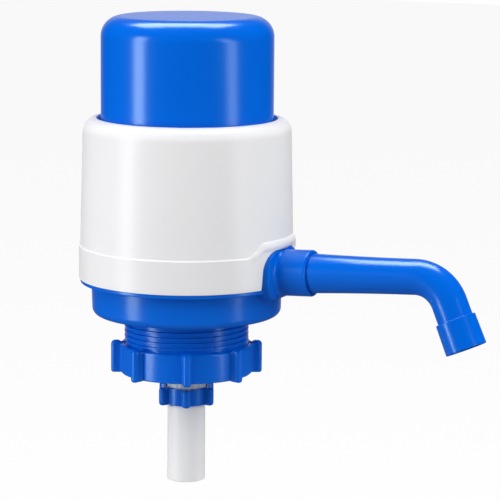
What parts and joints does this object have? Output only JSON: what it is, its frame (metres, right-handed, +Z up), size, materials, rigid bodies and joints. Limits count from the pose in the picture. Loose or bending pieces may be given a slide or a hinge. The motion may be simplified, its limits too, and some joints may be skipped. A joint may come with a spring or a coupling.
{
  "type": "manual water bottle pump",
  "caption": "Hand pump for a large water bottle: press-down cap over a bellows, round housing, curved swivelling spout, lugged neck nut and a dip tube.",
  "frame": {"origin": "on the pump's axis, in the plane of the neck gasket's underside where the bottle's rim seats", "axes": "+Z up along the pump's axis to the cap; +X from the axis out along the port and the spout"},
  "size_m": [0.2035, 0.1024, 0.2227],
  "materials": {
    "blue_shell": "glossy injection-moulded blue plastic",
    "white_shell": "satin injection-moulded white plastic",
    "clear_sleeve": "milky translucent plastic",
    "tube_plastic": "smooth white drinking-water tube",
    "inner_plastic": "plain white moulding",
    "bellows_plastic": "soft milky blow-moulded plastic",
    "seal_rubber": "smooth grey silicone rubber",
    "spring_steel": "drawn stainless steel wire",
    "screw_steel": "plain stainless steel"
  },
  "bodies": {
    "base": {"pump_base": "blue_shell", "outer_housing": "white_shell", "plate_gasket": "seal_rubber", "valve_plate": "inner_plastic", "bellows": "bellows_plastic", "bellows_clamp_ring": "inner_plastic", "clamp_screws": "screw_steel", "return_spring": "spring_steel", "neck_gasket": "seal_rubber", "tube_connector": "clear_sleeve", "inlet_o_ring": "seal_rubber"},
    "cap": {"push_cap": "blue_shell", "intake_plate": "inner_plastic"},
    "intake_flap": {"intake_valve": "seal_rubber"},
    "outlet_flap": {"outlet_valve": "seal_rubber"},
    "gripper": {"grip_ring": "inner_plastic"},
    "neck_nut": {"ring_nut": "blue_shell"},
    "tube": {"dip_tube": "tube_plastic", "tube_washer": "seal_rubber"},
    "small_nut": {"tube_nut": "blue_shell"},
    "spout": {"spout_tube": "blue_shell", "spout_o_ring": "seal_rubber", "spout_nozzle": "blue_shell"}
  },
  "joints": [
    {"name": "cap_press", "type": "slide", "parent": "base", "child": "cap", "axis": [0, 0, -1], "range_m": [0, 0.034], "stiffness_N_per_m": 600, "springref_m": -0.008, "deforming": ["bellows", "return_spring"]},
    {"name": "intake_lift", "type": "slide", "parent": "cap", "child": "intake_flap", "axis": [0, 0, -1], "range_m": [0, 0.001], "stiffness_N_per_m": 100, "springref_m": -0.0005},
    {"name": "outlet_lift", "type": "slide", "parent": "base", "child": "outlet_flap", "axis": [0, 0, -1], "range_m": [0, 0.001], "stiffness_N_per_m": 100, "springref_m": -0.0005},
    {"name": "nut_travel", "type": "slide", "parent": "base", "child": "gripper", "axis": [0, 0, 1], "range_m": [-0.002, 0.0045]},
    {"name": "nut_turn", "type": "hinge", "parent": "gripper", "child": "neck_nut", "pos_m": [0, 0, -0.0238], "axis": [0, 0, 1], "range_deg": [-287.5, 647.5]},
    {"name": "tube_draw", "type": "slide", "parent": "base", "child": "tube", "axis": [0, 0, 1], "range_m": [-0.003, 0]},
    {"name": "tube_nut_turn", "type": "hinge", "parent": "tube", "child": "small_nut", "pos_m": [0, 0, -0.042], "axis": [0, 0, 1], "range_deg": [-431.5, 0]},
    {"name": "spout_swivel", "type": "hinge", "parent": "base", "child": "spout", "pos_m": [0.0658, 0, 0.02182], "axis": [0.9988, 0, 0.0488], "continuous": true}
  ],
  "couplings": [
    {"joint": "nut_travel", "follows": "nut_turn", "m_per_rad": 0.00039789},
    {"joint": "tube_draw", "follows": "tube_nut_turn", "m_per_rad": 0.00039789}
  ]
}
